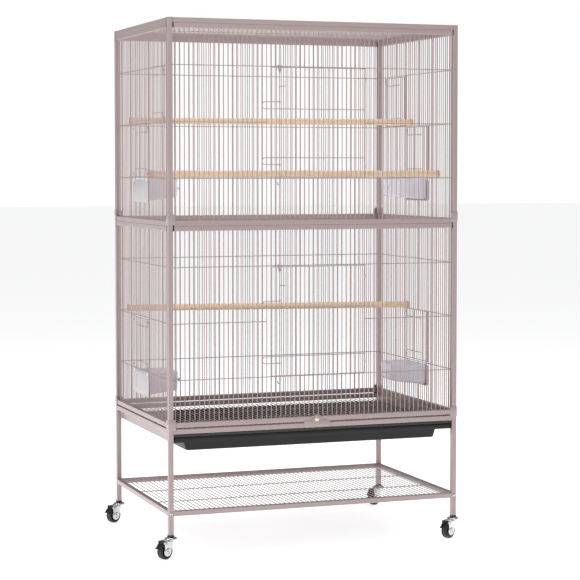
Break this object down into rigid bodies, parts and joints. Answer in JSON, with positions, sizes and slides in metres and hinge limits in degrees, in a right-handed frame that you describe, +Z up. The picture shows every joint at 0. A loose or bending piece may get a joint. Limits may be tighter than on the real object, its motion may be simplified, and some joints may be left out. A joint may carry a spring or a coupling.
{
  "type": "bird cage on stand",
  "caption": "Tall wire bird cage in two tiers on a rolling stand, with hinged doors, side hatches, feeder cups, perches, a slide-out tray and a wire shelf.",
  "frame": {"origin": "on the floor, in the middle of the overall width and depth, casters included; the cage's own middle is 14 mm to +X and 10 mm to +Y of it, because the casters trail to the front left", "axes": "+X to the right of someone who faces the doors, +Y from the front to the back, +Z up"},
  "size_m": [0.838, 0.5554, 1.3457],
  "materials": {
    "coated_steel": "pinkish taupe powder coat, satin",
    "black_plastic": "matte black moulding",
    "tray_sheet": "black, slight sheen",
    "cup_plastic": "translucent lavender",
    "pine": "bare pine dowel",
    "cap_plastic": "tan plastic",
    "plated_steel": "bright plated steel",
    "rivet_metal": "pale plated rivet",
    "wheel_plastic": "black wheel with a hard tread"
  },
  "bodies": {
    "cage": {"front_left_post": "coated_steel", "front_right_post": "coated_steel", "back_left_post": "coated_steel", "back_right_post": "coated_steel", "front_left_leg": "coated_steel", "front_right_leg": "coated_steel", "back_left_leg": "coated_steel", "back_right_leg": "coated_steel", "stand_frame": "coated_steel", "tray_runners": "coated_steel", "shelf": "coated_steel", "top_panel": "coated_steel", "rail_plugs": "black_plastic", "lower_front_panel": "coated_steel", "lower_back_panel": "coated_steel", "lower_left_panel": "coated_steel", "lower_right_panel": "coated_steel", "upper_front_panel": "coated_steel", "upper_back_panel": "coated_steel", "upper_left_panel": "coated_steel", "upper_right_panel": "coated_steel", "upper_perch": "pine", "middle_perch": "pine", "lower_perch": "pine", "perch_end_caps": "cap_plastic", "stand_brackets": "coated_steel", "middle_brackets": "coated_steel", "screws": "plated_steel", "turn_button_rivet": "rivet_metal", "caster_plugs": "black_plastic", "caster_stems": "plated_steel"},
    "lower_door": {"lower_door": "coated_steel"},
    "lower_lock_rod": {"lower_lock_rod": "coated_steel"},
    "lower_left_feeder_hatch": {"lower_left_feeder_hatch": "coated_steel"},
    "lower_left_cup": {"lower_left_cup": "cup_plastic"},
    "lower_right_feeder_hatch": {"lower_right_feeder_hatch": "coated_steel"},
    "lower_right_cup": {"lower_right_cup": "cup_plastic"},
    "upper_door": {"upper_door": "coated_steel"},
    "upper_lock_rod": {"upper_lock_rod": "coated_steel"},
    "upper_left_feeder_hatch": {"upper_left_feeder_hatch": "coated_steel"},
    "upper_left_cup": {"upper_left_cup": "cup_plastic"},
    "upper_right_feeder_hatch": {"upper_right_feeder_hatch": "coated_steel"},
    "upper_right_cup": {"upper_right_cup": "cup_plastic"},
    "upper_left_access_hatch": {"upper_left_access_hatch": "coated_steel"},
    "upper_right_access_hatch": {"upper_right_access_hatch": "coated_steel"},
    "tray": {"tray": "tray_sheet"},
    "floor_grille": {"floor_grille": "coated_steel"},
    "turn_button": {"turn_button": "coated_steel"},
    "front_left_caster": {"front_left_caster_fork": "plated_steel"},
    "front_left_caster_wheel": {"front_left_caster_wheel": "wheel_plastic"},
    "front_left_caster_pedal": {"front_left_caster_pedal": "black_plastic"},
    "front_right_caster": {"front_right_caster_fork": "plated_steel"},
    "front_right_caster_wheel": {"front_right_caster_wheel": "wheel_plastic"},
    "front_right_caster_pedal": {"front_right_caster_pedal": "black_plastic"},
    "back_left_caster": {"back_left_caster_fork": "plated_steel"},
    "back_left_caster_wheel": {"back_left_caster_wheel": "wheel_plastic"},
    "back_left_caster_pedal": {"back_left_caster_pedal": "black_plastic"},
    "back_right_caster": {"back_right_caster_fork": "plated_steel"},
    "back_right_caster_wheel": {"back_right_caster_wheel": "wheel_plastic"},
    "back_right_caster_pedal": {"back_right_caster_pedal": "black_plastic"}
  },
  "joints": [
    {"name": "lower_door_hinge", "type": "hinge", "parent": "cage", "child": "lower_door", "pos_m": [0.14735, -0.24736, 0.585], "axis": [0, 0, 1], "range_deg": [0, 150]},
    {"name": "lower_lock_rod_lift", "type": "slide", "parent": "lower_door", "child": "lower_lock_rod", "axis": [0, 0, 1], "range_m": [0, 0.01]},
    {"name": "lower_left_feeder_hatch_lift", "type": "slide", "parent": "cage", "child": "lower_left_feeder_hatch", "axis": [0, 0, 1], "range_m": [0, 0.12]},
    {"name": "lower_left_cup_pull", "type": "slide", "parent": "cage", "child": "lower_left_cup", "axis": [-1, 0, 0], "range_m": [0, 0.12]},
    {"name": "lower_right_feeder_hatch_lift", "type": "slide", "parent": "cage", "child": "lower_right_feeder_hatch", "axis": [0, 0, 1], "range_m": [0, 0.12]},
    {"name": "lower_right_cup_pull", "type": "slide", "parent": "cage", "child": "lower_right_cup", "axis": [1, 0, 0], "range_m": [0, 0.12]},
    {"name": "upper_door_hinge", "type": "hinge", "parent": "cage", "child": "upper_door", "pos_m": [0.14735, -0.24736, 1.0885], "axis": [0, 0, 1], "range_deg": [0, 150]},
    {"name": "upper_lock_rod_lift", "type": "slide", "parent": "upper_door", "child": "upper_lock_rod", "axis": [0, 0, 1], "range_m": [0, 0.01]},
    {"name": "upper_left_feeder_hatch_lift", "type": "slide", "parent": "cage", "child": "upper_left_feeder_hatch", "axis": [0, 0, 1], "range_m": [0, 0.12]},
    {"name": "upper_left_cup_pull", "type": "slide", "parent": "cage", "child": "upper_left_cup", "axis": [-1, 0, 0], "range_m": [0, 0.12]},
    {"name": "upper_right_feeder_hatch_lift", "type": "slide", "parent": "cage", "child": "upper_right_feeder_hatch", "axis": [0, 0, 1], "range_m": [0, 0.12]},
    {"name": "upper_right_cup_pull", "type": "slide", "parent": "cage", "child": "upper_right_cup", "axis": [1, 0, 0], "range_m": [0, 0.12]},
    {"name": "upper_left_access_hatch_lift", "type": "slide", "parent": "cage", "child": "upper_left_access_hatch", "axis": [0, 0, 1], "range_m": [0, 0.08]},
    {"name": "upper_right_access_hatch_lift", "type": "slide", "parent": "cage", "child": "upper_right_access_hatch", "axis": [0, 0, 1], "range_m": [0, 0.08]},
    {"name": "tray_slide", "type": "slide", "parent": "cage", "child": "tray", "axis": [0, -1, 0], "range_m": [0, 0.4]},
    {"name": "floor_grille_slide", "type": "slide", "parent": "cage", "child": "floor_grille", "axis": [0, -1, 0], "range_m": [0, 0.4]},
    {"name": "turn_button_pivot", "type": "hinge", "parent": "cage", "child": "turn_button", "pos_m": [0.014, -0.2514, 0.33235], "axis": [0, 1, 0], "range_deg": [0, 180]},
    {"name": "front_left_caster_swivel", "type": "hinge", "parent": "cage", "child": "front_left_caster", "pos_m": [-0.37335, -0.244, 0.045], "axis": [0, 0, 1], "continuous": true},
    {"name": "front_left_caster_spin", "type": "hinge", "parent": "front_left_caster", "child": "front_left_caster_wheel", "pos_m": [-0.39179, -0.25405, 0.0205], "axis": [0.4787, -0.878, 0], "continuous": true},
    {"name": "front_left_caster_brake", "type": "hinge", "parent": "front_left_caster", "child": "front_left_caster_pedal", "pos_m": [-0.40127, -0.25922, 0.044], "axis": [0.4787, -0.878, 0], "range_deg": [0, 4]},
    {"name": "front_right_caster_swivel", "type": "hinge", "parent": "cage", "child": "front_right_caster", "pos_m": [0.40135, -0.244, 0.045], "axis": [0, 0, 1], "continuous": true},
    {"name": "front_right_caster_spin", "type": "hinge", "parent": "front_right_caster", "child": "front_right_caster_wheel", "pos_m": [0.38291, -0.25405, 0.0205], "axis": [0.4787, -0.878, 0], "continuous": true},
    {"name": "front_right_caster_brake", "type": "hinge", "parent": "front_right_caster", "child": "front_right_caster_pedal", "pos_m": [0.37343, -0.25922, 0.044], "axis": [0.4787, -0.878, 0], "range_deg": [0, 4]},
    {"name": "back_left_caster_swivel", "type": "hinge", "parent": "cage", "child": "back_left_caster", "pos_m": [-0.37335, 0.264, 0.045], "axis": [0, 0, 1], "continuous": true},
    {"name": "back_left_caster_spin", "type": "hinge", "parent": "back_left_caster", "child": "back_left_caster_wheel", "pos_m": [-0.39179, 0.25395, 0.0205], "axis": [0.4787, -0.878, 0], "continuous": true},
    {"name": "back_left_caster_brake", "type": "hinge", "parent": "back_left_caster", "child": "back_left_caster_pedal", "pos_m": [-0.40127, 0.24878, 0.044], "axis": [0.4787, -0.878, 0], "range_deg": [0, 4]},
    {"name": "back_right_caster_swivel", "type": "hinge", "parent": "cage", "child": "back_right_caster", "pos_m": [0.40135, 0.264, 0.045], "axis": [0, 0, 1], "continuous": true},
    {"name": "back_right_caster_spin", "type": "hinge", "parent": "back_right_caster", "child": "back_right_caster_wheel", "pos_m": [0.38291, 0.25395, 0.0205], "axis": [0.4787, -0.878, 0], "continuous": true},
    {"name": "back_right_caster_brake", "type": "hinge", "parent": "back_right_caster", "child": "back_right_caster_pedal", "pos_m": [0.37343, 0.24878, 0.044], "axis": [0.4787, -0.878, 0], "range_deg": [0, 4]}
  ]
}
